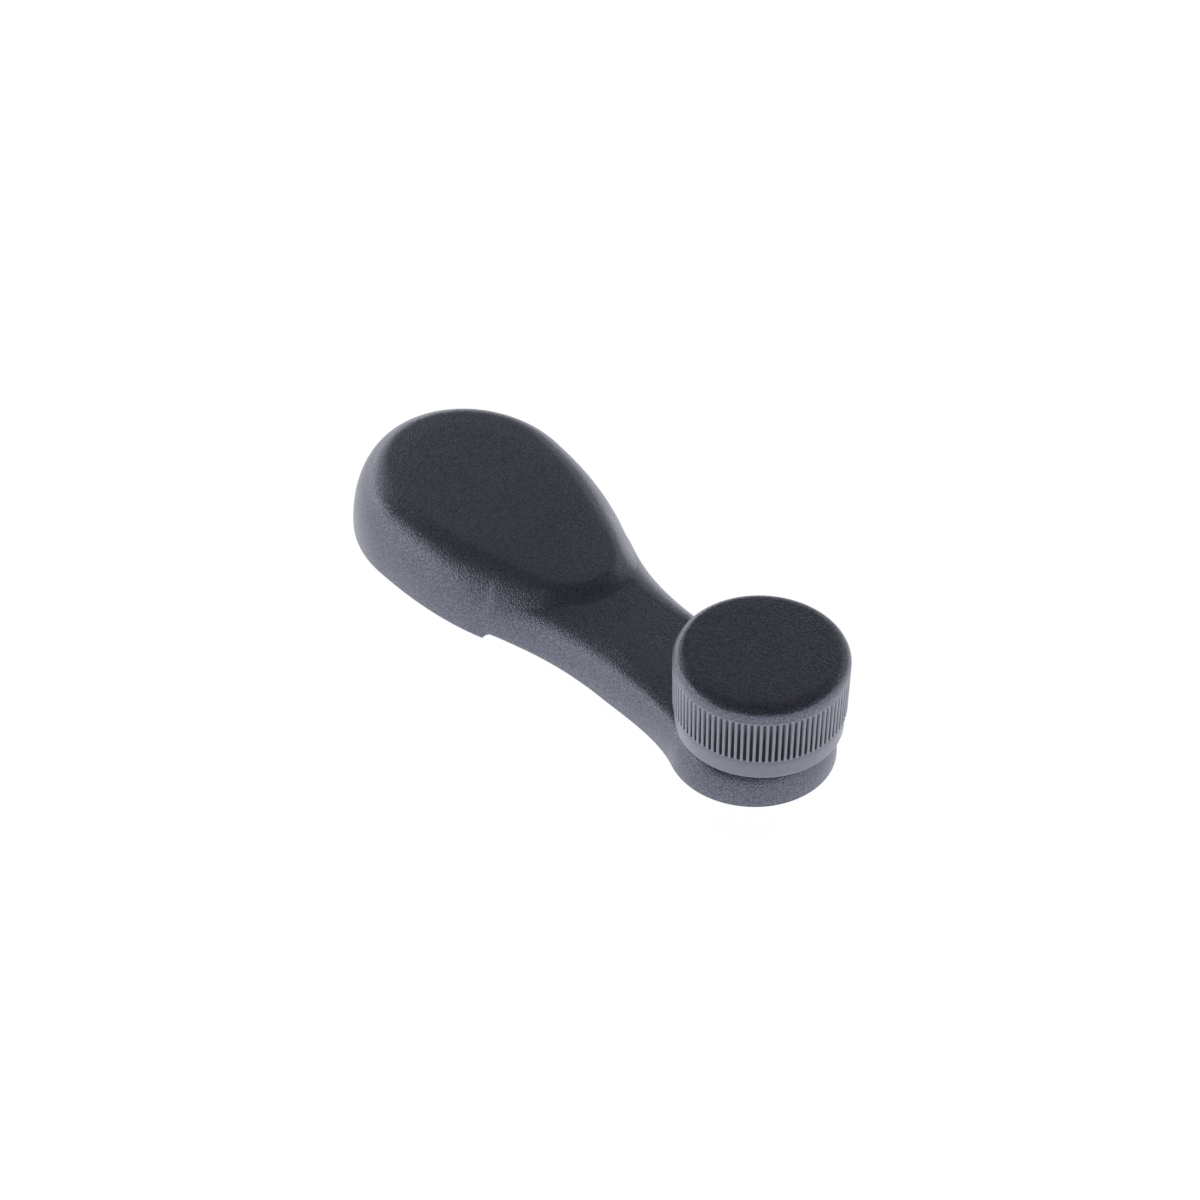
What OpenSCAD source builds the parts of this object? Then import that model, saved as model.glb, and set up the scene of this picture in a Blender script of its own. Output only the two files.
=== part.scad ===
// Window crank handle with a spinning knob.
// Origin: spindle axis at the plane of the hub's lower rim. +X points to the knob,
// +Z points away from the door panel. Millimetres.

/* [Arm] */
// Distance from the spindle axis to the knob axis
arm_len = 102; // [90:0.5:115]
// Half width of the arm at its waist
waist_half_w = 14.1; // [12:0.1:16]
// Place of the waist along the arm, from the spindle axis
waist_x = 68; // [60:0.5:74]
// Half width of the arm where the hub's skirt ends
shoulder_half_w = 20.2; // [18:0.1:22]
// Sideways taper of the outline where the skirt ends, width per length
shoulder_taper = 0.4; // [0.2:0.01:0.5]
// Radius of the arm's round end
end_r = 17.1; // [16:0.1:19]
// How far the centre of the round end lies inward of the knob axis
end_back = 1.9; // [0:0.1:3]
// Height of the lower edge under the round end, above the hub's rim
end_lift = 7.5; // [5:0.1:9]
// How far the arm's flat top at the pad's tip lies below the pad's top
pad_rise = 2.6; // [1.6:0.1:3.4]
// Width of the rounded shoulder along the arm's sides, beside the pad
arm_edge = 9; // [7:0.1:10.5]
// Width of the tighter shoulder around the arm's round end
end_edge = 3.4; // [2.8:0.1:6]

/* [Hub] */
// Half length of the hub's oval outline, along the arm
hub_half_len = 28.6; // [26:0.1:31]
// Half width of the hub's oval outline
hub_half_w = 25.8; // [24:0.1:29]
// How far the oval's centre lies from the spindle axis, toward the knob
hub_shift = 2; // [0:0.1:4]
// Height of the raised pad's top above the hub's rim
hub_h = 16.8; // [15.5:0.1:20]
// Width of the rounded shoulder around the hub
hub_edge = 8.6; // [7:0.1:9.5]
// Distance from the hub's outer end to where its shoulder starts to turn into the arm's
hub_blend = 16; // [10:0.5:22]
// Place where the hub's skirt ends and the edge steps up to the arm
notch_x = 34; // [33:0.5:40]
// Height of the step at the end of the skirt
notch_step = 1.5; // [0.5:0.1:1.6]

/* [Pad] */
// Distance from the hub's outline to the pad's, which lies flush with the hub's top there
pad_inset = 6.2; // [6:0.1:8]
// Distance from the spindle axis to where the pad starts to stand proud of the arm
pad_start_x = 12; // [6:0.5:18]
// Distance from the spindle axis to the pad's tip
pad_tip_x = 50.5; // [46:0.5:53]
// Radius of the pad's blunt tip
pad_tip_r = 12; // [8:0.5:13]
// Radius of the pad's upper edge
pad_edge = 2.2; // [1:0.1:2.4]
// Height of the pad's crown over its edge
pad_crown = 0.25; // [0.1:0.05:0.5]

/* [Shell] */
// Thickness of the side walls
wall = 2.4; // [2:0.1:2.8]
// Thickness of the top
roof = 2.4; // [2:0.1:2.8]
// Thickness of the ribs inside
rib_t = 1.6; // [1.2:0.1:2.2]
// Angle of the hub's four ribs from the arm's axis
rib_dir = 55; // [48:1:62]
// Depth of the arm's cross ribs below the inner ceiling
rib_depth = 3.5; // [2:0.1:4.5]
// Distance of the first cross rib from the spindle axis
rib_x = 48; // [44:0.5:52]
// Distance between the cross ribs
rib_pitch = 21; // [18:0.5:24]

/* [Spindle socket] */
// Radius of the socket at the crests of its splines
spline_crest_r = 4; // [3.5:0.05:4.5]
// Depth of the spline grooves
spline_depth = 0.6; // [0.4:0.05:0.8]
// Number of spline grooves
spline_count = 18; // [12:1:24]
// Width of one spline groove
spline_groove_w = 0.3; // [0.2:0.02:0.34]
// Outer radius of the metal insert
insert_r = 7; // [6.6:0.1:8]
// Length of the metal insert
insert_len = 11; // [9.5:0.1:12.5]
// Thickness of the boss around the insert
boss_wall = 2.5; // [2:0.1:3]

/* [Spring clip] */
// Diameter of the clip's wire
clip_wire = 1.8; // [1.4:0.1:2]
// Height of the clip above the hub's rim
clip_z = 3; // [2.4:0.1:4.5]
// Space around the clip's wire in its slots
clip_gap = 0.12; // [0.08:0.01:0.2]
// Metal left between the socket's grooves and the clip's slots
clip_web = 0.4; // [0.3:0.05:0.5]

/* [Knob] */
// Radius of the knob at its rim
knob_r = 17.5; // [16:0.1:19]
// Height of the knob from the collar's lower edge to the top
knob_h = 18.7; // [17:0.1:21]
// Height of the smooth collar
collar_h = 4.7; // [3.6:0.1:5.4]
// How much smaller the collar's radius is than the ribs'
collar_step = 0.3; // [0.2:0.05:0.8]
// How much the knob's side narrows from the rim down to the collar
knob_draft = 0.2; // [0.1:0.05:0.8]
// Radius of the knob's upper edge
knob_edge = 2.6; // [1.5:0.1:3]
// Number of grip ribs around the knob
grip_count = 88; // [72:1:96]
// Depth of the grooves between the grip ribs
grip_depth = 0.4; // [0.2:0.05:0.5]
// Width of the grooves between the grip ribs
grip_groove_w = 0.52; // [0.4:0.02:0.6]
// Height of the plain band between the grip ribs and the upper edge
grip_top_gap = 1.3; // [1:0.1:2.5]
// Wall thickness of the knob
knob_wall = 1.9; // [1.6:0.1:2.4]
// Gap between the knob and the arm's top
knob_gap = 1; // [0.7:0.05:1.6]

/* [Axle] */
// Radius of the axle's journal
axle_r = 3; // [2.5:0.1:3.5]
// Radius of the axle's head
axle_head_r = 5; // [4.6:0.1:6]
// Thickness of the axle's head
axle_head_t = 1.6; // [1.2:0.1:2]
// Radial running clearance around the axle
axle_fit = 0.05; // [0.02:0.01:0.1]
// Axial play of the knob
axle_play = 0.1; // [0.05:0.01:0.2]
// Thickness of the thrust washer
washer_t = 0.6; // [0.4:0.05:0.6]
// Thickness of the boss around the axle
axle_boss_wall = 3.5; // [2.5:0.1:4.5]

/* [Hidden] */
$fn = 96;
eps = 0.02;

// Heights and places that follow from the sizes above
collar_z = hub_h;
arm_top = hub_h - pad_rise;
end_top = collar_z - knob_gap;
seat_z = collar_z - axle_play - washer_t;
end_x = arm_len - end_back;
notch_run = 1.5;
skirt_blend_x = -hub_half_len + hub_shift + hub_blend;

function smooth01(t) = let (u = max(0, min(1, t))) u * u * (3 - 2 * u);
// 1 on the hub, 0 on the arm
function hubness(x) = 1 - smooth01((x - skirt_blend_x) / (pad_tip_x - 2 - skirt_blend_x));
function arm_z(x) = arm_top
    + (end_top - arm_top) * max(0, min(1, (x - pad_tip_x + 2) / (arm_len - pad_tip_x + 2)));
// the hub's flat top, just under the pad's crown, falls to the arm's top along the pad
hub_top = hub_h - 0.8 * pad_crown;
function proud(x) = smooth01((x - pad_start_x) / (pad_tip_x - 2 - pad_start_x));
function top_z(x) = (1 - proud(x)) * hub_top + proud(x) * arm_z(x);
// 0 beside the pad's tip, 1 around the arm's end
function endness(x) = smooth01((x - pad_tip_x + 6) / (end_x - pad_tip_x));
function edge_w(x) = hubness(x) * hub_edge
    + (1 - hubness(x)) * (arm_edge + endness(x) * (end_edge - arm_edge));
function rim_z(x) = x <= notch_x + 0.001 ? 0 :
    notch_step * min(1, (x - notch_x) / notch_run)
    + (end_lift - notch_step) * min(1, (x - notch_x) / (end_x - 6 - notch_x));

// Plan outline of the hub and the arm
function unit(v) = v / norm(v);
// cubic span from a to b that leaves along ta and arrives along tb
function span(a, ta, b, tb, n) = [for (i = [0 : n - 1]) let (t = i / n, l = norm(b - a))
    (2 * t * t * t - 3 * t * t + 1) * a + (t * t * t - 2 * t * t + t) * l * ta
    + (3 * t * t - 2 * t * t * t) * b + (t * t * t - t * t) * l * tb];

end_a = 109;
hub_a = 88;
hub_p = [hub_shift + hub_half_len * cos(hub_a), hub_half_w * sin(hub_a)];
hub_t = unit([hub_half_len * sin(hub_a), -hub_half_w * cos(hub_a)]);
end_p = [end_x + end_r * cos(end_a), end_r * sin(end_a)];
end_t = [sin(end_a), -cos(end_a)];
shoulder_p = [notch_x, shoulder_half_w];
shoulder_t = unit([1, -shoulder_taper]);
waist_p = [waist_x, waist_half_w];

half_outline = concat(
    [for (i = [0 : 15]) let (a = 180 - (180 - hub_a) * i / 16)
        [hub_shift + hub_half_len * cos(a), hub_half_w * sin(a)]],
    span(hub_p, hub_t, shoulder_p, shoulder_t, 9),
    span(shoulder_p, shoulder_t, waist_p, [1, 0], 9),
    span(waist_p, [1, 0], end_p, end_t, 8),
    [for (i = [0 : 12]) let (a = end_a * (1 - i / 12)) [end_x + end_r * cos(a), end_r * sin(a)]]);

// a closed outline from its upper half, whose first and last points lie on the X axis
function closed(h) = concat(h, [for (i = [len(h) - 2 : -1 : 1]) [h[i].x, -h[i].y]]);
function inward(o) = let (n = len(o)) [for (i = [0 : n - 1])
    let (t = unit(o[(i + 1) % n] - o[(i + n - 1) % n])) [t.y, -t.x]];

body_outline = closed(half_outline);
body_in = inward(body_outline);

half_w_table = [for (p = half_outline) [p.x, p.y]];
function half_w(x) = lookup(x, half_w_table);

// Plan outline of the pad
pad_far_len = hub_half_len - pad_inset;
pad_half_w = hub_half_w - pad_inset;
pad_tip_a = 63;
pad_tip_c = pad_tip_x - pad_tip_r;
pad_end_p = [pad_tip_c + pad_tip_r * cos(pad_tip_a), pad_tip_r * sin(pad_tip_a)];
pad_end_t = [sin(pad_tip_a), -cos(pad_tip_a)];
half_pad = concat(
    [for (i = [0 : 13]) let (a = 180 - 90 * i / 14)
        [hub_shift + pad_far_len * cos(a), pad_half_w * sin(a)]],
    span([hub_shift, pad_half_w], [1, 0], pad_end_p, pad_end_t, 14),
    [for (i = [0 : 8]) let (a = pad_tip_a * (1 - i / 8))
        [pad_tip_c + pad_tip_r * cos(a), pad_tip_r * sin(a)]]);
pad_outline = closed(half_pad);
pad_in = inward(pad_outline);

// Rings of points around the body, and the faces between them
function ring(o, n, inset, z) = [for (i = [0 : len(o) - 1])
    let (p = o[i] + n[i] * inset[i]) [p.x, p.y, z[i]]];
function outer_ring(a) = let (ins = [for (p = body_outline) edge_w(p.x) * (1 - cos(a))])
    ring(body_outline, body_in, ins,
        [for (p = body_outline) rim_z(p.x) + (top_z(p.x) - rim_z(p.x)) * sin(a)]);
function inner_ring(a) = let (ins = [for (p = body_outline) wall + (edge_w(p.x) - wall) * (1 - cos(a))])
    ring(body_outline, body_in, ins,
        [for (p = body_outline) rim_z(p.x) + (top_z(p.x) - roof - rim_z(p.x)) * sin(a)]);
function quad_faces(r0, r1, n) = [for (i = [0 : n - 1]) let (j = (i + 1) % n)
    each [[r0 * n + j, r1 * n + j, r0 * n + i], [r1 * n + j, r1 * n + i, r0 * n + i]]];
// strips across a ring that is symmetric about the X axis
function cap_faces(r, n, flip) = let (h = n / 2, b = r * n) [for (i = [0 : h - 1])
    let (a = i, c = i + 1, d = n - i - 1, e = (n - i) % n)
    each (i == 0 ? [flip ? [b + a, b + d, b + c] : [b + a, b + c, b + d]] :
        i == h - 1 ? [flip ? [b + a, b + e, b + c] : [b + a, b + c, b + e]] :
        flip ? [[b + a, b + d, b + c], [b + a, b + e, b + d]]
        : [[b + a, b + c, b + d], [b + a, b + d, b + e]])];

outer_steps = [for (i = [0 : 8]) 90 * i / 8];
inner_steps = [for (i = [0 : 5]) 90 * (1 - i / 5)];

module body_shell() {
    n = len(body_outline);
    a = len(outer_steps);
    b = len(inner_steps);
    rings = concat([for (t = outer_steps) outer_ring(t)], [for (t = inner_steps) inner_ring(t)]);
    faces = concat(
        [for (r = [0 : a - 2]) each quad_faces(r, r + 1, n)],
        cap_faces(a - 1, n, false),
        cap_faces(a, n, true),
        [for (r = [a : a + b - 2]) each quad_faces(r, r + 1, n)],
        quad_faces(a + b - 1, 0, n));
    polyhedron(points = [for (r = rings) each r], faces = faces, convexity = 6);
}

pad_steps = [for (i = [0 : 5]) 90 * i / 5];
// the pad's floor and foot run half way through the shell's wall
module pad() {
    n = len(pad_outline);
    a = len(pad_steps) + 3;
    side_z = hub_h - pad_crown - pad_edge;
    zero = [for (p = pad_outline) 0];
    rings = concat(
        [[for (i = [0 : n - 1]) let (p = pad_outline[i] + 4 * pad_in[i]) [p.x, p.y, mid_z(p.x, p.y)]]],
        [ring(pad_outline, pad_in, zero, [for (p = pad_outline) min(mid_z(p.x, p.y), side_z - 0.3)])],
        [for (t = pad_steps) ring(pad_outline, pad_in, [for (p = pad_outline) pad_edge * (1 - cos(t))],
            [for (p = pad_outline) side_z + pad_edge * sin(t)])],
        [ring(pad_outline, pad_in, [for (p = pad_outline) 8], [for (p = pad_outline) hub_h])]);
    polyhedron(points = [for (r = rings) each r],
        faces = concat(cap_faces(0, n, true), [for (r = [0 : a - 2]) each quad_faces(r, r + 1, n)],
            cap_faces(a - 1, n, false)), convexity = 4);
}

// The surface half way through the wall, which the ribs run into
function mid_edge(x) = edge_w(x) - wall / 2;
function mid_h(x) = top_z(x) - roof / 2 - rim_z(x);
// how much the outline leans from the X axis at x, as the cosine of the angle
function lean(x) = cos(atan((half_w(x + 1) - half_w(x - 1)) / 2));
function mid_z(x, y) = let (d = (half_w(x) - abs(y)) * lean(x) - wall / 2,
    u = max(0, min(1, d / mid_edge(x)))) rim_z(x) + mid_h(x) * sqrt(1 - (1 - u) * (1 - u));

boss_r = insert_r + boss_wall;
rib_low = clip_z + clip_wire + 0.6;
radius_table = [for (p = half_outline) [180 - atan2(p.y, p.x), norm(p)]];
// one hub rib, in the upright plane through the spindle axis: it runs from the boss into the wall
module hub_rib(dir) {
    a = abs(dir);
    far = lookup(180 - a, radius_table) - wall / 2 / lean(hub_half_w * cos(a)) - 0.3;
    near = boss_r - 0.5;
    top = [for (i = [0 : 12]) let (q = 1 - i / 12, r = far - (far - near) * q * q)
        [r, max(rib_low, mid_z(r * cos(a), r * sin(a)))]];
    rotate([90, 0, dir]) linear_extrude(rib_t, center = true)
        polygon(concat([[near, rib_low - 0.4], [far, rib_low - 0.4]], [for (i = [12 : -1 : 0]) top[i]]));
}
// one cross rib, in the plane across the arm at x
module cross_rib(x) {
    low = top_z(x) - roof - rib_depth;
    a0 = asin((low - rim_z(x)) / mid_h(x));
    side = [for (i = [0 : 6]) let (t = a0 + (90 - a0) * i / 6)
        [half_w(x) - (wall / 2 + mid_edge(x) * (1 - cos(t))) / lean(x), rim_z(x) + mid_h(x) * sin(t)]];
    translate([x, 0, 0]) rotate([90, 0, 90]) linear_extrude(rib_t, center = true)
        polygon(concat(side, [for (i = [6 : -1 : 0]) [-side[i].x, side[i].y]]));
}

axle_boss_r = axle_r + axle_boss_wall;
axle_foot_z = end_lift + 0.6;

clip_y = spline_crest_r + spline_depth + clip_web + clip_gap + clip_wire / 2;
slot_w = clip_wire + 2 * clip_gap;

module clip_slots(reach, inner, outer) {
    for (s = [-1, 1]) translate([-reach, s > 0 ? inner : -outer, clip_z - slot_w / 2])
        cube([2 * reach, outer - inner, slot_w]);
}

// Hub, arm and pad in one moulding, hollow underneath
module crank_body() {
    color([0.15, 0.16, 0.19]) difference() {
        union() {
            body_shell();
            pad();
            cylinder(h = mid_h(0), r = boss_r);
            for (s = [-1, 1], a = [rib_dir, 180 - rib_dir]) hub_rib(s * a);
            for (k = [0 : 1]) cross_rib(rib_x + k * rib_pitch);
            translate([arm_len, 0, axle_foot_z])
                cylinder(h = end_top - roof / 2 - axle_foot_z, r = axle_boss_r);
            translate([arm_len, 0, end_top - roof / 2])
                cylinder(h = seat_z - end_top + roof / 2, r = axle_boss_r + 1.5);
        }
        translate([0, 0, -1]) cylinder(h = insert_len + 1, r = insert_r);
        translate([arm_len, 0, 0]) cylinder(h = seat_z + 5, r = axle_r);
        clip_slots(boss_r + 1, clip_y - slot_w / 2, clip_y + slot_w / 2);
    }
}

// Metal sleeve for the splined spindle of the window regulator
module spindle_insert() {
    color([0.62, 0.63, 0.65]) difference() {
        cylinder(h = insert_len, r = insert_r);
        translate([0, 0, -1]) cylinder(h = insert_len + 2, r = spline_crest_r);
        for (k = [0 : spline_count - 1]) rotate(360 / spline_count * (k + 0.5))
            translate([0, -spline_groove_w / 2, -1])
                cube([spline_crest_r + spline_depth, spline_groove_w, insert_len + 2]);
        clip_slots(insert_r + 1, clip_y - slot_w / 2, insert_r + 1);
    }
}

// U-shaped wire that grips the groove of the spindle
module spring_clip() {
    bend_x = sqrt(boss_r * boss_r - clip_y * clip_y) + 1.4;
    leg_x = boss_r + 1;
    color([0.7, 0.71, 0.73]) translate([0, 0, clip_z]) {
        for (s = [-1, 1]) {
            translate([-bend_x, s * clip_y, 0]) rotate([0, 90, 0])
                cylinder(h = bend_x + leg_x, d = clip_wire);
            translate([leg_x, s * clip_y, 0]) sphere(d = clip_wire);
        }
        translate([-bend_x, 0, 0]) rotate(90)
            rotate_extrude(angle = 180) translate([clip_y, 0]) circle(d = clip_wire);
    }
}

head_z = collar_z + knob_h - knob_wall - 1.2 - axle_head_t;

// Steel pin pressed into the arm, with a flat head inside the knob
module knob_axle() {
    color([0.7, 0.71, 0.73]) translate([arm_len, 0, 0]) {
        translate([0, 0, axle_foot_z - 0.4]) cylinder(h = head_z - axle_foot_z + 0.4 + eps, r = axle_r);
        translate([0, 0, head_z]) cylinder(h = axle_head_t, r = axle_head_r);
    }
}

// Plastic washer between the knob and the arm
module thrust_washer() {
    color([0.85, 0.85, 0.82]) translate([arm_len, 0, seat_z]) difference() {
        cylinder(h = washer_t, r = axle_boss_r + 1);
        translate([0, 0, -1]) cylinder(h = washer_t + 2, r = axle_r + axle_fit);
    }
}

band_z = collar_z + collar_h;
band_r = knob_r - knob_draft;
knob_top_z = collar_z + knob_h;
rim_low_z = knob_top_z - knob_edge;
grip_top_z = rim_low_z - grip_top_gap;
cap_in_r = band_r - grip_depth - knob_wall;
base_r = cap_in_r - 0.1;
sleeve_r = axle_r + axle_fit + 2.4;
spigot_h = 5;
bead = 0.35;
base_floor = 2.2;
grip_h = grip_top_z - band_z;
draft_a = atan(knob_draft / (rim_low_z - band_z));

// Smooth collar and the bearing sleeve that turns on the axle
module knob_base() {
    color([0.33, 0.34, 0.37]) translate([arm_len, 0, 0]) rotate_extrude()
        polygon([[axle_r + axle_fit, collar_z], [band_r - collar_step - 0.45, collar_z],
            [band_r - collar_step - 0.15, collar_z + 0.3], [band_r - collar_step, band_z],
            [base_r, band_z], [base_r, band_z + spigot_h * 0.4], [base_r + bead, band_z + spigot_h * 0.55],
            [base_r, band_z + spigot_h * 0.75], [base_r - 0.4, band_z + spigot_h],
            [base_r - 1.6, band_z + spigot_h], [base_r - 1.6, collar_z + base_floor],
            [sleeve_r, collar_z + base_floor], [sleeve_r, head_z - axle_play],
            [axle_r + axle_fit, head_z - axle_play]]);
}

// Ribbed cap of the knob
module knob_cap() {
    edge = [for (i = [0 : 6]) let (t = 15 * i)
        [knob_r - knob_edge + knob_edge * cos(t), rim_low_z + knob_edge * sin(t)]];
    color([0.15, 0.16, 0.19]) translate([arm_len, 0, 0]) difference() {
        rotate_extrude($fn = 176)
            polygon(concat([[0, knob_top_z], [0, knob_top_z - knob_wall],
                [cap_in_r - 1, knob_top_z - knob_wall],
                [cap_in_r, knob_top_z - knob_wall - 1], [cap_in_r, band_z + spigot_h * 0.75 + 0.1],
                [cap_in_r + bead, band_z + spigot_h * 0.55], [cap_in_r, band_z + spigot_h * 0.4 - 0.1],
                [cap_in_r, band_z], [band_r, band_z]], edge));
        for (k = [0 : grip_count - 1]) rotate(360 / grip_count * k)
            translate([band_r - grip_depth, 0, band_z]) rotate([0, draft_a, 0])
                translate([0, -grip_groove_w / 2, -1]) cube([grip_depth + 1, grip_groove_w, grip_h + 1]);
    }
}

crank_body();
spindle_insert();
spring_clip();
knob_axle();
thrust_washer();
knob_base();
knob_cap();
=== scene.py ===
"""Looks of the window crank handle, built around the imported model. Metres."""

import math

import bmesh
import bpy
import numpy as np
from mathutils import Matrix, Vector
from mathutils.bvhtree import BVHTree


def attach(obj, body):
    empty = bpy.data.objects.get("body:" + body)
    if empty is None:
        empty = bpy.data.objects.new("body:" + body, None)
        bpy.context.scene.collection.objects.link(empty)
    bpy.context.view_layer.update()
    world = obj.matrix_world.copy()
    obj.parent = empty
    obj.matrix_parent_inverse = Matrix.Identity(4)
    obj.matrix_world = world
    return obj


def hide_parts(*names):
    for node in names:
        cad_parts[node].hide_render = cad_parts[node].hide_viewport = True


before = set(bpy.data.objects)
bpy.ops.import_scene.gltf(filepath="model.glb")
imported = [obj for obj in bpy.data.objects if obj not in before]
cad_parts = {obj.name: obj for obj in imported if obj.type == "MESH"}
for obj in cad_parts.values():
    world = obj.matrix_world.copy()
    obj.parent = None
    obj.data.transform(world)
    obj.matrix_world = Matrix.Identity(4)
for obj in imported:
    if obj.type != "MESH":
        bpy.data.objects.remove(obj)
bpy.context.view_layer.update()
MM = 0.001

# ---- sizes, as in the part's source, in millimetres ----
ARM_LEN, WAIST_HALF_W, WAIST_X = 102.0, 14.1, 68.0
SHOULDER_HALF_W, SHOULDER_TAPER = 20.2, 0.4
END_R, END_BACK, END_LIFT = 17.1, 1.9, 7.5
PAD_RISE, ARM_EDGE, END_EDGE = 2.6, 9.0, 3.4
HUB_HALF_LEN, HUB_HALF_W, HUB_SHIFT, HUB_H, HUB_EDGE, HUB_BLEND = 28.6, 25.8, 2.0, 16.8, 8.6, 16.0
NOTCH_X, NOTCH_STEP, NOTCH_RUN = 34.0, 1.5, 1.5
PAD_INSET, PAD_START_X, PAD_TIP_X, PAD_TIP_R, PAD_CROWN = 6.2, 12.0, 50.5, 12.0, 0.25
WALL, ROOF, RIB_T, RIB_DIR, RIB_DEPTH, RIB_X, RIB_PITCH = 2.4, 2.4, 1.6, 55.0, 3.5, 48.0, 21.0
INSERT_R, INSERT_LEN, BOSS_WALL = 7.0, 11.0, 2.5
CLIP_WIRE, CLIP_Z, CLIP_GAP, CLIP_WEB = 1.8, 3.0, 0.12, 0.4
SPLINE_CREST_R, SPLINE_DEPTH = 4.0, 0.6
KNOB_R, KNOB_H, COLLAR_H, COLLAR_STEP, KNOB_DRAFT, KNOB_EDGE = 17.5, 18.7, 4.7, 0.3, 0.2, 2.6
GRIP_COUNT, GRIP_DEPTH, GRIP_GROOVE_W, GRIP_TOP_GAP, KNOB_WALL, KNOB_GAP = 88, 0.4, 0.52, 1.3, 1.9, 1.0
AXLE_R, AXLE_HEAD_T, AXLE_FIT, AXLE_PLAY, WASHER_T, AXLE_BOSS_WALL = 3.0, 1.6, 0.05, 0.1, 0.6, 3.5

COLLAR_Z = HUB_H
ARM_TOP = HUB_H - PAD_RISE
HUB_TOP = HUB_H - 0.8 * PAD_CROWN
END_TOP = COLLAR_Z - KNOB_GAP
SEAT_Z = COLLAR_Z - AXLE_PLAY - WASHER_T
END_X = ARM_LEN - END_BACK
BLEND_X = -HUB_HALF_LEN + HUB_SHIFT + HUB_BLEND
BOSS_R = INSERT_R + BOSS_WALL
CLIP_Y = SPLINE_CREST_R + SPLINE_DEPTH + CLIP_WEB + CLIP_GAP + CLIP_WIRE / 2
SLOT_W = CLIP_WIRE + 2 * CLIP_GAP
AXLE_BOSS_R = AXLE_R + AXLE_BOSS_WALL
AXLE_FOOT_Z = END_LIFT + 0.6


def smooth01(t):
    t = np.clip(t, 0, 1)
    return t * t * (3 - 2 * t)


def hubness(x):
    return 1 - smooth01((x - BLEND_X) / (PAD_TIP_X - 2 - BLEND_X))


def arm_z(x):
    return ARM_TOP + (END_TOP - ARM_TOP) * np.clip((x - PAD_TIP_X + 2) / (ARM_LEN - PAD_TIP_X + 2), 0, 1)


def proud(x):
    return smooth01((x - PAD_START_X) / (PAD_TIP_X - 2 - PAD_START_X))


def top_z(x):
    return (1 - proud(x)) * HUB_TOP + proud(x) * arm_z(x)


def edge_w(x):
    end = smooth01((x - PAD_TIP_X + 6) / (END_X - PAD_TIP_X))
    return hubness(x) * HUB_EDGE + (1 - hubness(x)) * (ARM_EDGE + end * (END_EDGE - ARM_EDGE))


def rim_z(x):
    """Height of the lower edge: level under the hub, a step at the notch, then a rise toward the arm's end."""
    t = np.clip(x - NOTCH_X, 0, None)
    corner = 0.25 * smooth01(t / NOTCH_RUN) * (1 - smooth01((t - 2) / 7))
    rise = (END_LIFT - NOTCH_STEP) * np.clip(t / (END_X - 6 - NOTCH_X), 0, 1)
    return NOTCH_STEP * smooth01(t / NOTCH_RUN) + rise + corner


def unit(v):
    v = np.array(v, float)
    return v / np.hypot(*v)


def span(a, ta, b, tb, n):
    a, b = np.array(a, float), np.array(b, float)
    t = (np.arange(n) / n)[:, None]
    chord = np.hypot(*(b - a))
    return ((2 * t**3 - 3 * t**2 + 1) * a + (t**3 - 2 * t**2 + t) * chord * np.array(ta)
            + (3 * t**2 - 2 * t**3) * b + (t**3 - t**2) * chord * np.array(tb))


def arc(cx, rx, ry, a0, a1, n, last=False):
    t = np.radians(a0 + (a1 - a0) * np.arange(n + (1 if last else 0)) / n)
    return np.stack([cx + rx * np.cos(t), ry * np.sin(t)], -1)


def half_outline(k):
    """Upper half of the body's outline, from the hub's far end to the arm's end."""
    hub_deg, end_deg = 88, 109
    ha, ea = math.radians(hub_deg), math.radians(end_deg)
    hub_p = [HUB_SHIFT + HUB_HALF_LEN * math.cos(ha), HUB_HALF_W * math.sin(ha)]
    hub_t = unit([HUB_HALF_LEN * math.sin(ha), -HUB_HALF_W * math.cos(ha)])
    end_p, end_t = [END_X + END_R * math.cos(ea), END_R * math.sin(ea)], [math.sin(ea), -math.cos(ea)]
    sp, st, wp = [NOTCH_X, SHOULDER_HALF_W], unit([1, -SHOULDER_TAPER]), [WAIST_X, WAIST_HALF_W]
    return np.vstack([arc(HUB_SHIFT, HUB_HALF_LEN, HUB_HALF_W, 180, hub_deg, 16 * k),
                      span(hub_p, hub_t, sp, st, 9 * k), span(sp, st, wp, [1, 0], 9 * k),
                      span(wp, [1, 0], end_p, end_t, 8 * k),
                      arc(END_X, END_R, END_R, end_deg, 0, 12 * k, True)])


def half_pad(k):
    """Upper half of the pad's outline, from its far end to its tip."""
    tip_deg = 63
    far, wid = HUB_HALF_LEN - PAD_INSET, HUB_HALF_W - PAD_INSET
    ta, tc = math.radians(tip_deg), PAD_TIP_X - PAD_TIP_R
    ep, et = [tc + PAD_TIP_R * math.cos(ta), PAD_TIP_R * math.sin(ta)], [math.sin(ta), -math.cos(ta)]
    return np.vstack([arc(HUB_SHIFT, far, wid, 180, 90, 14 * k),
                      span([HUB_SHIFT, wid], [1, 0], ep, et, 14 * k),
                      arc(tc, PAD_TIP_R, PAD_TIP_R, tip_deg, 0, 8 * k, True)])


def closed(h):
    return np.vstack([h, h[-2:0:-1] * [1, -1]])


def inward(o):
    t = np.roll(o, -1, 0) - np.roll(o, 1, 0)
    t /= np.hypot(*t.T)[:, None]
    return np.stack([t[:, 1], -t[:, 0]], -1)


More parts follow.
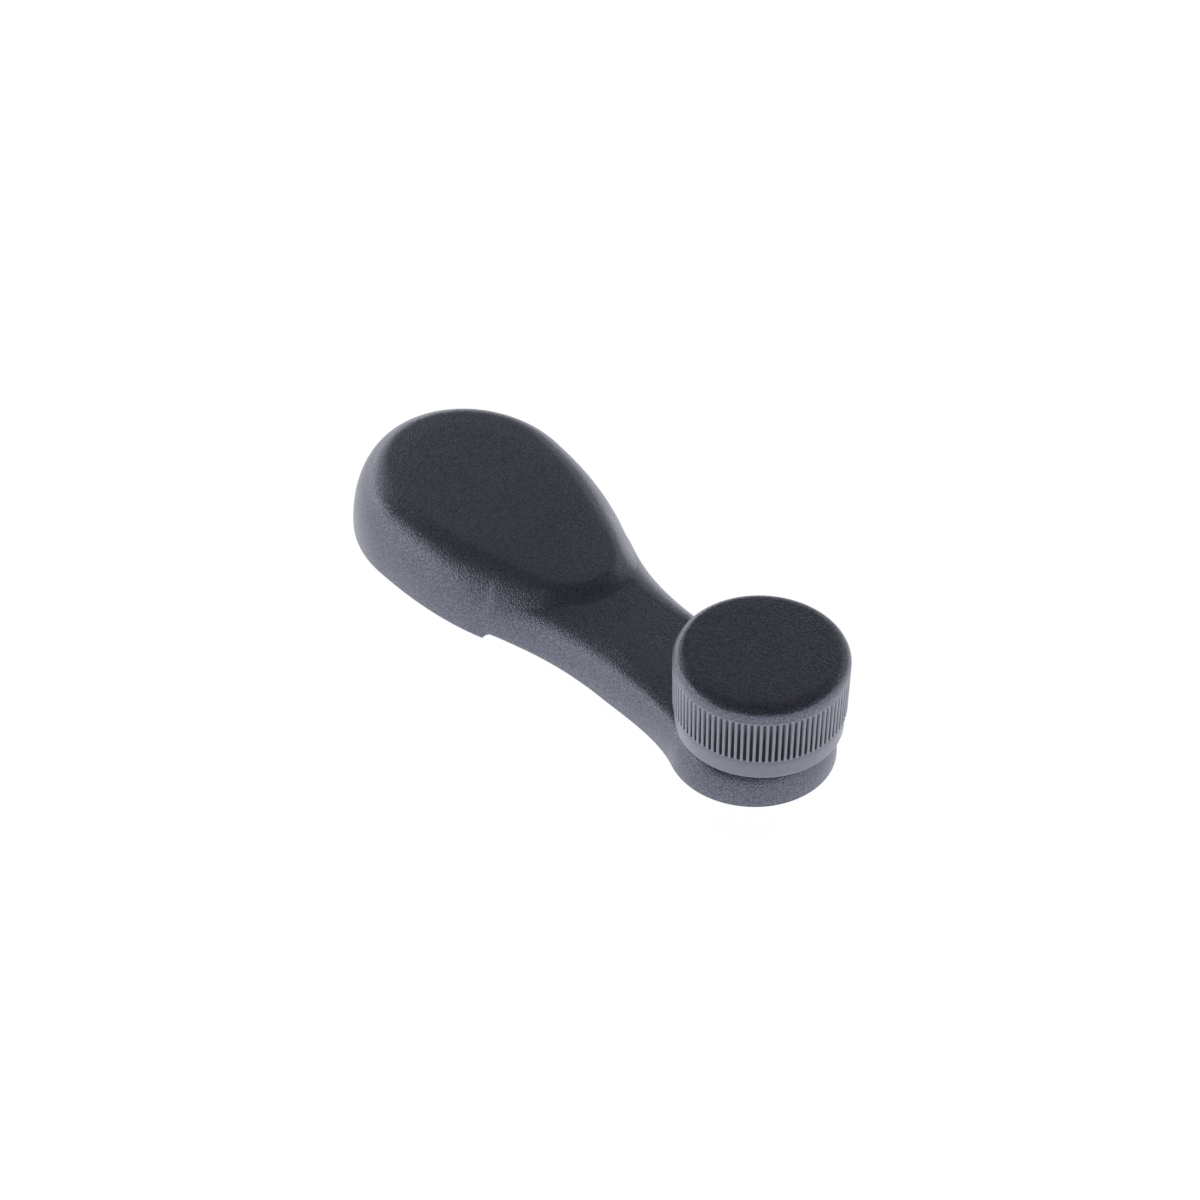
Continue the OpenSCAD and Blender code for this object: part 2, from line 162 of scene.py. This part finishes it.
# ---- mesh helpers ----
def new_object(name, verts, faces, smooth=True, sharp=None):
    me = bpy.data.meshes.new(name)
    me.from_pydata((np.asarray(verts) * MM).tolist(), [], [tuple(int(i) for i in f) for f in faces])
    me.validate()
    bm = bmesh.new()
    bm.from_mesh(me)
    bmesh.ops.recalc_face_normals(bm, faces=bm.faces)
    bm.to_mesh(me)
    bm.free()
    if smooth:
        me.shade_smooth()
    if sharp is not None:
        me.set_sharp_from_angle(angle=math.radians(sharp))
    ob = bpy.data.objects.new(name, me)
    bpy.context.scene.collection.objects.link(ob)
    return ob


def ring_faces(r0, r1, n):
    return [(r0 * n + i, r0 * n + (i + 1) % n, r1 * n + (i + 1) % n, r1 * n + i) for i in range(n)]


def across_faces(r, n, flip=False):
    """Quads across a ring that is symmetric about the X axis."""
    b, h, out = r * n, n // 2, []
    for i in range(h):
        d, e = n - i - 1, (n - i) % n
        f = (b + i, b + i + 1, b + d) if i == 0 else (b + i, b + i + 1, b + e) if i == h - 1 \
            else (b + i, b + i + 1, b + d, b + e)
        out.append(f[::-1] if flip else f)
    return out


def lathe(name, profile, n, cx=0.0, closed_profile=True, radial=None, sharp=40):
    """A profile of (r, z) turned about the upright axis at cx; radial(k, angles) may vary point k's radius."""
    ang = 2 * math.pi * np.arange(n) / n
    verts, rows = [], []
    for k, (r, z) in enumerate(profile):
        rr = np.full(n, float(r)) if radial is None else radial(k, ang)
        if r < 1e-9:
            rows.append([len(verts)] * n)
            verts.append((cx, 0, z))
        else:
            rows.append(list(range(len(verts), len(verts) + n)))
            verts += [(cx + rr[i] * math.cos(ang[i]), rr[i] * math.sin(ang[i]), z) for i in range(n)]
    faces = []
    pairs = list(zip(rows, rows[1:])) + ([(rows[-1], rows[0])] if closed_profile else [])
    for a, b in pairs:
        for i in range(n):
            j = (i + 1) % n
            f = []
            for v in (a[i], a[j], b[j], b[i]):
                if v not in f:
                    f.append(v)
            if len(f) > 2:
                faces.append(f)
    return new_object(name, verts, faces, sharp=sharp)


def join(objects, name):
    bm = bmesh.new()
    for ob in objects:
        bm.from_mesh(ob.data)
    me = bpy.data.meshes.new(name)
    bm.to_mesh(me)
    bm.free()
    for ob in objects:
        bpy.data.objects.remove(ob)
    ob = bpy.data.objects.new(name, me)
    bpy.context.scene.collection.objects.link(ob)
    return ob


def cut(ob, cutter):
    mod = ob.modifiers.new("cut", "BOOLEAN")
    mod.operation, mod.object, mod.solver = "DIFFERENCE", cutter, "EXACT"
    dg = bpy.context.evaluated_depsgraph_get()
    me = bpy.data.meshes.new_from_object(ob.evaluated_get(dg))
    ob.modifiers.clear()
    ob.data = me
    bpy.data.objects.remove(cutter)


def box(name, lo, hi):
    v = [(x, y, z) for x in (lo[0], hi[0]) for y in (lo[1], hi[1]) for z in (lo[2], hi[2])]
    f = [(0, 1, 3, 2), (4, 6, 7, 5), (0, 4, 5, 1), (2, 3, 7, 6), (0, 2, 6, 4), (1, 5, 7, 3)]
    return new_object(name, v, f, smooth=False)


# ---- crank body: shell, pad with its soft foot, bosses and ribs ----
K = 4  # how much finer than the solid's outline
outline = closed(half_outline(K))
out_in = inward(outline)
N = len(outline)
ox = outline[:, 0]


def shell_ring(a, inset, drop, top):
    e = edge_w(ox) - inset
    return np.column_stack([outline + out_in * (inset + e * (1 - math.cos(a)))[:, None],
                            rim_z(ox) + (top - drop - rim_z(ox)) * math.sin(a)])


def rim_ring(inset, lift):
    return np.column_stack([outline + out_in * inset, rim_z(ox) + lift])


RIM_R, STEPS = 0.35, np.linspace(0.022, math.pi / 2, 25)
outer = [rim_ring(RIM_R * (1 - math.cos(t)), RIM_R * (1 - math.sin(t))) for t in np.radians([90, 67, 45, 22])]
outer += [shell_ring(a, 0.0, 0.0, top_z(ox)) for a in STEPS]
inner = [shell_ring(a, WALL, ROOF, top_z(ox)) for a in np.linspace(math.pi / 2, 0, 13)]
rings = outer + inner
n_out = len(outer)
verts = np.vstack(rings)
faces = [f for r in range(n_out - 1) for f in ring_faces(r, r + 1, N)]
faces += across_faces(n_out - 1, N)
outer_faces = list(faces)
faces += across_faces(n_out, N, True)
faces += [f for r in range(n_out, len(rings) - 1) for f in ring_faces(r, r + 1, N)]
faces += ring_faces(len(rings) - 1, 0, N)
shell = new_object("shell", verts, faces, sharp=60)

surface = BVHTree.FromPolygons([Vector(v) for v in verts], outer_faces)
# the same body with the hub's height kept along the whole pad: the pad's top near the hub
level = BVHTree.FromPolygons([Vector(v) for a in STEPS for v in shell_ring(a, 0.0, 0.0, np.full(N, HUB_TOP))],
                             [f for r in range(len(STEPS) - 1) for f in ring_faces(r, r + 1, N)]
                             + across_faces(len(STEPS) - 1, N))


def body_height(x, y, tree=surface):
    hit = tree.ray_cast(Vector((x, y, 60)), Vector((0, 0, -1)))[0]
    return hit.z if hit else 0.0


pad_line = closed(half_pad(K))
pad_in = inward(pad_line)
M = len(pad_line)
pad_x = pad_line[:, 0]
# 1 on the hub, where the pad lies flush with the shoulder, 0 toward the tip
fade = 1 - smooth01((pad_x - 18) / 30)
# 1 along the sides, 0 round the tip
beside = 1 - smooth01((pad_x - 14) / 36)
# the foot is wide on the hub, narrow round the tip and stays inside the body's outline
room = np.array([np.hypot(*(outline - q).T).min() for q in pad_line]) - 0.7
EASE = 0.6
foot_w = -EASE * np.logaddexp(-(2.2 + 4.2 * beside) / EASE, -room / EASE)
edge_r = 2.6 + 1.2 * beside


def pad_ring(u):
    """A ring of the pad: u runs from 0 at its foot to 1 where its top is flat, and on inward from there."""
    inset = (foot_w + edge_r) * u - foot_w
    p = pad_line + pad_in * inset[:, None]
    low = np.array([body_height(x, y) for x, y in p])
    high = fade * np.array([body_height(x, y, level) for x, y in p]) + (1 - fade) * HUB_TOP
    high += 0.8 * PAD_CROWN * smooth01(inset / 8)
    return np.column_stack([p, low - 0.03 + 0.05 * smooth01(u * 8) + smooth01(u) * (high - low)])


pad_rings = [pad_ring(u) for u in (*np.linspace(0, 1, 19), 1.15, 1.3, 1.5)]
pv = np.vstack(pad_rings)
pf = [f for r in range(len(pad_rings) - 1) for f in ring_faces(r, r + 1, M)]
pad = new_object("pad", pv, pf + across_faces(len(pad_rings) - 1, M))

half_w_x, half_w_y = half_outline(K).T

CHAMFER, LEAD_IN, BURIED = 0.25, 0.15, 1.4
boss = lathe("boss", [(BOSS_R, CHAMFER), (BOSS_R - CHAMFER, 0), (INSERT_R + LEAD_IN, 0), (INSERT_R, LEAD_IN),
                      (INSERT_R, INSERT_LEN), (0, INSERT_LEN), (0, HUB_H - BURIED),
                      (BOSS_R, HUB_H - BURIED)], 128)
for s in (-1, 1):
    y0, y1 = sorted((s * (CLIP_Y - SLOT_W / 2), s * (CLIP_Y + SLOT_W / 2)))
    cut(boss, box("slot", (-BOSS_R - 1, y0, CLIP_Z - SLOT_W / 2), (BOSS_R + 1, y1, CLIP_Z + SLOT_W / 2)))
AXLE_SEAT_R = AXLE_BOSS_R + 1.5
axle_boss = lathe("axle_boss", [(AXLE_BOSS_R, AXLE_FOOT_Z + CHAMFER), (AXLE_BOSS_R - CHAMFER, AXLE_FOOT_Z),
                                (AXLE_R, AXLE_FOOT_Z), (AXLE_R, SEAT_Z), (AXLE_SEAT_R - 0.3, SEAT_Z),
                                (AXLE_SEAT_R, SEAT_Z - 0.3), (AXLE_SEAT_R, END_TOP - 1.2),
                                (AXLE_BOSS_R, END_TOP - 1.2)], 128, cx=ARM_LEN)


def plate(name, line, bottom, direction, centre=(0, 0)):
    """An upright plate RIB_T thick whose top follows line, a list of (distance, height)."""
    c, s = math.cos(direction), math.sin(direction)
    v, f = [], []
    for side in (-0.5, 0.5):
        for r, z in line:
            for h in (bottom, z):
                v.append((centre[0] + r * c - side * RIB_T * s, centre[1] + r * s + side * RIB_T * c, h))
    m = len(line)
    for i in range(m - 1):
        a, b = 2 * i, 2 * i + 2 * m
        f += [(a, a + 1, a + 3, a + 2), (b, b + 2, b + 3, b + 1)]
        f += [(a, a + 2, b + 2, b), (a + 1, b + 1, b + 3, a + 3)]
    f += [(0, 2 * m, 2 * m + 1, 1), (2 * m - 2, 2 * m - 1, 4 * m - 1, 4 * m - 2)]
    return new_object(name, v, f, sharp=30)


pieces = [shell, pad, boss, axle_boss]
rib_low = CLIP_Z + CLIP_WIRE + 0.2
for s in (-1, 1):
    for deg in (RIB_DIR, 180 - RIB_DIR):
        a = math.radians(s * deg)
        ends = np.arange(BOSS_R - 0.5, 40, 0.25)
        z = np.array([body_height(r * math.cos(a), r * math.sin(a)) for r in ends])
        keep = z > rib_low + 1.6
        line = [(r, h - ROOF / 2) for r, h in zip(ends[keep], z[keep])]
        reach = line[-1][0] - 0.5
        line = [q for q in line if q[0] <= reach]
        pieces.append(plate("rib", line, rib_low, a))
for k in range(2):
    x = RIB_X + k * RIB_PITCH
    reach = float(np.interp(x, half_w_x, half_w_y)) - 1.3
    ys = np.linspace(-reach, reach, 61)
    low = float(top_z(np.array(x))) - ROOF - RIB_DEPTH
    line = [(y, body_height(x, y) - ROOF / 2) for y in ys]
    line = [q for q in line if q[1] > low + 0.1]
    pieces.append(plate("rib", line, low, math.pi / 2, (x, 0)))
crank = join(pieces, "crank_shell")
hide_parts("crank_body")
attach(crank, "crank")

# ---- knob ----
BAND_Z, BAND_R, TOP_Z = COLLAR_Z + COLLAR_H, KNOB_R - KNOB_DRAFT, COLLAR_Z + KNOB_H
RIM_LOW = TOP_Z - KNOB_EDGE
GRIP_TOP = RIM_LOW - GRIP_TOP_GAP
CAP_IN_R = BAND_R - GRIP_DEPTH - KNOB_WALL
BASE_R = CAP_IN_R - 0.1
HEAD_Z = COLLAR_Z + KNOB_H - KNOB_WALL - 1.2 - AXLE_HEAD_T
SPIGOT_H, SPIGOT_T, BEAD, FLOOR_T = 5.0, 1.6, 0.35, 2.2
SLEEVE_R = AXLE_R + AXLE_FIT + 2.4


def side_r(z):
    return BAND_R + KNOB_DRAFT * (z - BAND_Z) / (RIM_LOW - BAND_Z)


cap_line, grip = [], []


def add(r, z, g=0.0):
    cap_line.append((r, z))
    grip.append(g)


add(0, TOP_Z - KNOB_WALL)
add(CAP_IN_R - 1, TOP_Z - KNOB_WALL)
add(CAP_IN_R, TOP_Z - KNOB_WALL - 1)
add(CAP_IN_R, BAND_Z + SPIGOT_H * 0.75 + 0.1)
add(CAP_IN_R + BEAD, BAND_Z + SPIGOT_H * 0.55)
add(CAP_IN_R, BAND_Z + SPIGOT_H * 0.4 - 0.1)
add(CAP_IN_R, BAND_Z)
add(BAND_R - GRIP_DEPTH - 0.25, BAND_Z)
add(BAND_R - 0.12, BAND_Z, 0.6)
add(side_r(BAND_Z + 0.12), BAND_Z + 0.12, 1.0)
for z in np.linspace(BAND_Z + 0.5, GRIP_TOP - 0.7, 9):
    add(side_r(z), z, 1.0)
for z, g in zip(np.linspace(GRIP_TOP - 0.55, GRIP_TOP + 0.05, 7), (1, 0.97, 0.88, 0.7, 0.42, 0.15, 0)):
    add(side_r(z), z, g)
for z in np.linspace(GRIP_TOP + 0.3, RIM_LOW, 4):
    add(side_r(z), z)
for t in np.radians(np.linspace(0, 90, 15)[1:]):
    add(KNOB_R - KNOB_EDGE + KNOB_EDGE * math.cos(t), RIM_LOW + KNOB_EDGE * math.sin(t))
for r in (12.5, 9, 5):
    add(r, TOP_Z)
add(0, TOP_Z)
PER_RIB = 10
groove_half = GRIP_GROOVE_W / 2 / KNOB_R


def cap_radius(k, ang):
    r = cap_line[k][0]
    if grip[k] == 0:
        return np.full(len(ang), r)
    pitch = 2 * math.pi / GRIP_COUNT
    off = np.abs((ang + pitch / 2) % pitch - pitch / 2)
    return r - grip[k] * GRIP_DEPTH * (1 - smooth01((off - groove_half * 0.6) / groove_half))


cap = lathe("knob_cap_shell", cap_line, GRIP_COUNT * PER_RIB, ARM_LEN, closed_profile=False,
            radial=cap_radius, sharp=50)
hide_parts("knob_cap")
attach(cap, "knob")

low_r, high_r = BAND_R - COLLAR_STEP - 0.15, BAND_R - COLLAR_STEP
base_line = [(AXLE_R + AXLE_FIT, COLLAR_Z + 0.15), (AXLE_R + AXLE_FIT + 0.15, COLLAR_Z)]
base_line += [(low_r - 0.4 + 0.4 * math.sin(t), COLLAR_Z + 0.4 - 0.4 * math.cos(t))
              for t in np.radians(np.linspace(0, 90, 7))]
base_line += [(low_r + (high_r - low_r) * u, COLLAR_Z + 0.4 + (COLLAR_H - 0.6) * u) for u in (0.33, 0.66, 1)]
base_line += [(high_r - 0.08, BAND_Z - 0.05), (high_r - 0.25, BAND_Z), (BASE_R, BAND_Z),
              (BASE_R, BAND_Z + SPIGOT_H * 0.4), (BASE_R + BEAD, BAND_Z + SPIGOT_H * 0.55),
              (BASE_R, BAND_Z + SPIGOT_H * 0.75), (BASE_R - 0.4, BAND_Z + SPIGOT_H),
              (BASE_R - SPIGOT_T, BAND_Z + SPIGOT_H), (BASE_R - SPIGOT_T, COLLAR_Z + FLOOR_T),
              (SLEEVE_R, COLLAR_Z + FLOOR_T), (SLEEVE_R, HEAD_Z - AXLE_PLAY),
              (AXLE_R + AXLE_FIT, HEAD_Z - AXLE_PLAY)]
base = lathe("knob_collar", base_line, 192, ARM_LEN)
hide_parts("knob_base")
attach(base, "knob")


# ---- materials ----
def material(name):
    m = bpy.data.materials.new(name)
    m.use_nodes = True
    nt = m.node_tree
    return m, nt, nt.nodes["Principled BSDF"]


def noise(nt, coord, scale, detail=2.0, rough=0.5):
    n = nt.nodes.new("ShaderNodeTexNoise")
    n.inputs["Scale"].default_value = scale
    n.inputs["Detail"].default_value = detail
    n.inputs["Roughness"].default_value = rough
    nt.links.new(coord, n.inputs["Vector"])
    return n.outputs["Fac"]


def maths(nt, op, a, b):
    n = nt.nodes.new("ShaderNodeMath")
    n.operation = op
    for socket, val in zip(n.inputs, (a, b)):
        if isinstance(val, (int, float)):
            socket.default_value = val
        else:
            nt.links.new(val, socket)
    return n.outputs[0]


def ramp(nt, fac, a, b, lo=0.0, hi=1.0):
    n = nt.nodes.new("ShaderNodeMapRange")
    for key, val in (("From Min", lo), ("From Max", hi), ("To Min", a), ("To Max", b)):
        n.inputs[key].default_value = val
    nt.links.new(fac, n.inputs["Value"])
    return n.outputs["Result"]


def mix_colour(nt, fac, a, b):
    n = nt.nodes.new("ShaderNodeMix")
    n.data_type = "RGBA"
    n.inputs[6].default_value, n.inputs[7].default_value = (*a, 1), (*b, 1)
    nt.links.new(fac, n.inputs[0])
    return n.outputs[2]


def bump(nt, height, strength, distance):
    n = nt.nodes.new("ShaderNodeBump")
    n.inputs["Strength"].default_value = strength
    n.inputs["Distance"].default_value = distance
    nt.links.new(height, n.inputs["Height"])
    return n.outputs["Normal"]


def mult_colour(nt, col, fac):
    n = nt.nodes.new("ShaderNodeVectorMath")
    n.operation = "SCALE"
    nt.links.new(col, n.inputs[0])
    nt.links.new(fac, n.inputs["Scale"])
    return n.outputs[0]


def plastic(name, dark, light, rough, grain, speckle, grain_scale=3000, specular=1.0, ior=1.85, sheen=0.4):
    """Moulded plastic with a fine eroded grain: tiny pits and peaks that also vary in tone and gloss,
    and a slow drift of tone and roughness over the piece."""
    m, nt, p = material(name)
    pos = nt.nodes.new("ShaderNodeTexCoord").outputs["Object"]
    fine = noise(nt, pos, grain_scale, 0.0)
    slow = noise(nt, pos, 45, 3)
    tone = mix_colour(nt, ramp(nt, slow, 0, 1, 0.35, 0.65), dark, light)
    speckled = mult_colour(nt, tone, ramp(nt, fine, 1 - speckle, 1 + speckle, 0.3, 0.7))
    nt.links.new(speckled, p.inputs["Base Color"])
    nt.links.new(ramp(nt, slow, rough - 0.02, rough + 0.02, 0.3, 0.7), p.inputs["Roughness"])
    nt.links.new(bump(nt, fine, 1.0, grain), p.inputs["Normal"])
    gloss = ramp(nt, fine, specular * (1 - speckle), specular, 0.38, 0.62)
    nt.links.new(gloss, p.inputs["Specular IOR Level"])
    p.inputs["Specular Tint"].default_value = (0.76, 0.80, 1.0, 1)
    p.inputs["IOR"].default_value = ior
    p.inputs["Sheen Weight"].default_value = sheen
    p.inputs["Sheen Roughness"].default_value = 0.55
    p.inputs["Sheen Tint"].default_value = (0.80, 0.84, 1.0, 1)
    return m, nt, p, pos


GRAIN, SMOOTH = 0.00007, 0.00001
body_mat = plastic("body_plastic", (0.052, 0.056, 0.077), (0.058, 0.062, 0.085), 0.25, GRAIN, 0.45)[0]
knob_mat, nt, p, pos = plastic("knob_plastic", (0.046, 0.050, 0.069), (0.051, 0.055, 0.075), 0.27, GRAIN, 0.45)
# the ribs: a painted highlight makes the crests paler; painted shade makes the grooves near-black, with little
# gloss and no sheen
place = nt.nodes.new("ShaderNodeSeparateXYZ")
nt.links.new(pos, place.inputs[0])
off = maths(nt, "SUBTRACT", place.outputs["X"], ARM_LEN * MM)
side = place.outputs["Y"]
square = maths(nt, "ADD", maths(nt, "MULTIPLY", off, off), maths(nt, "MULTIPLY", side, side))
# 0 at the groove bottoms, 1 at the crests: where the painted shade turns into the painted highlight
crest = ramp(nt, maths(nt, "SQRT", square, 0), 0.0, 1.0, (BAND_R - 0.28) * MM, (BAND_R - 0.03) * MM)
below = ramp(nt, place.outputs["Z"], 1.0, 0.0, (GRIP_TOP - 0.2) * MM, (GRIP_TOP + 0.4) * MM)
ribbed = nt.nodes.new("ShaderNodeMix")
ribbed.data_type = "RGBA"
nt.links.new(below, ribbed.inputs[0])
nt.links.new(p.inputs["Base Color"].links[0].from_socket, ribbed.inputs[6])
# painted shade: near-black grooves; painted highlight: pale crests
nt.links.new(mix_colour(nt, crest, (0.012, 0.013, 0.017), (0.27, 0.28, 0.33)), ribbed.inputs[7])
nt.links.new(ribbed.outputs[2], p.inputs["Base Color"])
# the grooves below the grip's top, where the painted shade also takes away gloss and sheen
groove_painted_shade = maths(nt, "MULTIPLY", below, maths(nt, "SUBTRACT", 1.0, crest))
gloss = p.inputs["Specular IOR Level"]
nt.links.new(maths(nt, "MULTIPLY", gloss.links[0].from_socket, ramp(nt, groove_painted_shade, 1.0, 0.1)), gloss)
nt.links.new(ramp(nt, groove_painted_shade, 0.4, 0.0), p.inputs["Sheen Weight"])
collar_mat = plastic("collar_plastic", (0.20, 0.21, 0.25), (0.215, 0.225, 0.265), 0.28, SMOOTH, 0.05,
                     grain_scale=1200, ior=1.6)[0]


def metal(name, colour, rough, scale, stretch):
    """Bare metal with drawing or turning marks along one direction."""
    m, nt, p = material(name)
    pos = nt.nodes.new("ShaderNodeTexCoord").outputs["Object"]
    mp = nt.nodes.new("ShaderNodeMapping")
    mp.inputs["Scale"].default_value = stretch
    nt.links.new(pos, mp.inputs["Vector"])
    marks = noise(nt, mp.outputs["Vector"], scale, 3, 0.6)
    dull = noise(nt, pos, 300, 3)
    tone = mix_colour(nt, ramp(nt, dull, 0, 1, 0.35, 0.7), [c * 0.72 for c in colour], colour)
    nt.links.new(tone, p.inputs["Base Color"])
    nt.links.new(ramp(nt, marks, rough - 0.08, rough + 0.1, 0.3, 0.7), p.inputs["Roughness"])
    nt.links.new(bump(nt, marks, 0.25, 0.00004), p.inputs["Normal"])
    p.inputs["Metallic"].default_value = 1.0
    return m


insert_mat = metal("insert_metal", (0.60, 0.61, 0.63), 0.42, 900, (1, 1, 0.25))
wire_mat = metal("spring_wire", (0.55, 0.56, 0.58), 0.32, 1500, (0.08, 1, 1))
axle_mat = metal("axle_steel", (0.60, 0.61, 0.63), 0.3, 1500, (0.2, 0.2, 1))
washer_mat = plastic("washer_nylon", (0.62, 0.61, 0.57), (0.68, 0.67, 0.63), 0.5, SMOOTH, 0.05,
                     grain_scale=1200, specular=0.5, ior=1.5)[0]

for ob, mat in ((crank, body_mat), (cap, knob_mat), (base, collar_mat)):
    ob.data.materials.clear()
    ob.data.materials.append(mat)
for node, mat in (("spindle_insert", insert_mat), ("spring_clip", wire_mat), ("knob_axle", axle_mat),
                  ("thrust_washer", washer_mat)):
    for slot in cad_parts[node].material_slots:
        slot.material = mat

# ---- floor and surround ----
def shown(nt):
    """1 for the rays that show the background: camera, glossy and transmission."""
    path = nt.nodes.new("ShaderNodeLightPath").outputs
    mirrored = maths(nt, "MAXIMUM", path["Is Glossy Ray"], path["Is Transmission Ray"])
    return maths(nt, "MAXIMUM", path["Is Camera Ray"], mirrored)


FLOOR_Z, FLOOR_HALF = -0.02, 1500
corners = [(x * FLOOR_HALF, y * FLOOR_HALF, FLOOR_Z) for x, y in ((-1, -1), (1, -1), (1, 1), (-1, 1))]
floor = new_object("floor", corners, [(0, 1, 2, 3)], smooth=False)
m, nt, p = material("floor_white")
p.inputs["Base Color"].default_value = (0.85, 0.85, 0.85, 1)
p.inputs["Roughness"].default_value = 0.9
p.inputs["Specular IOR Level"].default_value = 0.1
glow = nt.nodes.new("ShaderNodeEmission")
glow.inputs["Strength"].default_value = 0.96
black = nt.nodes.new("ShaderNodeEmission")
black.inputs["Strength"].default_value = 0.0
dim, seen, add_sh = (nt.nodes.new("ShaderNode" + k) for k in ("MixShader", "MixShader", "AddShader"))
dim.inputs[0].default_value = 0.3
# a floor lit well outside the picture too: what the part's sides see of it
bounce, lit = nt.nodes.new("ShaderNodeEmission"), nt.nodes.new("ShaderNodeAddShader")
bounce.inputs["Strength"].default_value = 0.9
nt.links.new(bounce.outputs[0], lit.inputs[0])
nt.links.new(p.outputs[0], lit.inputs[1])
nt.links.new(black.outputs[0], dim.inputs[1])
nt.links.new(p.outputs[0], dim.inputs[2])
nt.links.new(dim.outputs[0], add_sh.inputs[0])
nt.links.new(glow.outputs[0], add_sh.inputs[1])
nt.links.new(shown(nt), seen.inputs[0])
nt.links.new(lit.outputs[0], seen.inputs[1])
nt.links.new(add_sh.outputs[0], seen.inputs[2])
nt.links.new(seen.outputs[0], nt.nodes["Material Output"].inputs["Surface"])
floor.data.materials.append(m)

# ---- camera, from the fit of a pinhole camera to the photograph ----
F_PX, ELEV, ROLL, DIST, U0, V0, Z_REF, TURN = 3000.0, 41.38, -0.12, 590.04, 760.61, 686.49, 8.78, 53.38
er, ro, tr = math.radians(ELEV), math.radians(ROLL), math.radians(TURN)
fw = np.array([0, math.cos(er), -math.sin(er)])
rt, up = np.array([1.0, 0, 0]), np.array([0, math.sin(er), math.cos(er)])
rt, up = rt * math.cos(ro) + up * math.sin(ro), up * math.cos(ro) - rt * math.sin(ro)
eye = np.array([0, 0, Z_REF]) - (fw * DIST + rt * (U0 - 600) / F_PX * DIST + up * (600 - V0) / F_PX * DIST)


def to_part(v, place=False):
    x = v[0] * math.cos(tr) - v[1] * math.sin(tr)
    y = v[0] * math.sin(tr) + v[1] * math.cos(tr)
    return Vector((x + ARM_LEN, y, v[2] + HUB_H)) if place else Vector((x, y, v[2]))


cam_data = bpy.data.cameras.new("camera")
cam_data.sensor_width = 36.0
cam_data.lens = F_PX * 36 / 1200
cam_data.clip_start, cam_data.clip_end = 0.01, 20
cam = bpy.data.objects.new("camera", cam_data)
right, upv, back = to_part(rt), to_part(up), -to_part(fw)
pos = to_part(eye, True) * MM
cam.matrix_world = Matrix(((right.x, upv.x, back.x, pos.x), (right.y, upv.y, back.y, pos.y),
                           (right.z, upv.z, back.z, pos.z), (0, 0, 0, 1)))
bpy.context.scene.collection.objects.link(cam)
bpy.context.scene.camera = cam

# ---- light: soft boxes behind, at the left and at the right, a dim ceiling and a surround ----
centre = Vector((0.05, 0, 0.01))


def soft_box(name, azimuth, elevation, width, height, radiance, distance=0.8):
    """Angles in degrees as the part sees the box; azimuth counts anticlockwise from the camera's right."""
    a, e = math.radians(azimuth), math.radians(elevation)
    d = to_part(np.array([math.cos(a) * math.cos(e), math.sin(a) * math.cos(e), math.sin(e)]))
    li = bpy.data.lights.new(name, "AREA")
    li.shape = "RECTANGLE"
    li.size, li.size_y = (2 * distance * math.tan(math.radians(v / 2)) for v in (width, height))
    li.energy = math.pi * li.size * li.size_y * radiance
    ob = bpy.data.objects.new(name, li)
    ob.location = centre + d * distance
    ob.rotation_euler = d.to_track_quat("Z", "Y").to_euler()
    bpy.context.scene.collection.objects.link(ob)


soft_box("back_left_box", 127, 8, 62, 16, 1.45)
soft_box("back_left_upper", 127, 27, 42, 22, 0.62)
soft_box("back_right_box", 50, 26, 70, 22, 0.5)
soft_box("left_box", 180, 8, 50, 16, 1.3)
soft_box("right_box", 350, 8, 40, 14, 0.8)
soft_box("ceiling", 60, 72, 60, 60, 0.05)

world = bpy.data.worlds.new("surround")
world.use_nodes = True
nt = world.node_tree
bg = nt.nodes["Background"]
sep = nt.nodes.new("ShaderNodeSeparateXYZ")
nt.links.new(nt.nodes.new("ShaderNodeTexCoord").outputs["Generated"], sep.inputs[0])
# a dim sky that lights the part, white for the camera and, toward the horizon, for reflections
above = ramp(nt, sep.outputs["Z"], 0.075, 0.09, 0.1, 0.7)
edge = ramp(nt, sep.outputs["Z"], 1.0, 0.0, 0.0, 0.1)
path = nt.nodes.new("ShaderNodeLightPath").outputs["Is Camera Ray"]
white = maths(nt, "MAXIMUM", path, maths(nt, "MULTIPLY", shown(nt), edge))
nt.links.new(maths(nt, "MAXIMUM", above, white), bg.inputs["Strength"])
bg.inputs["Color"].default_value = (1, 1, 1, 1)
bpy.context.scene.world = world
bpy.context.scene.view_settings.view_transform = "Standard"
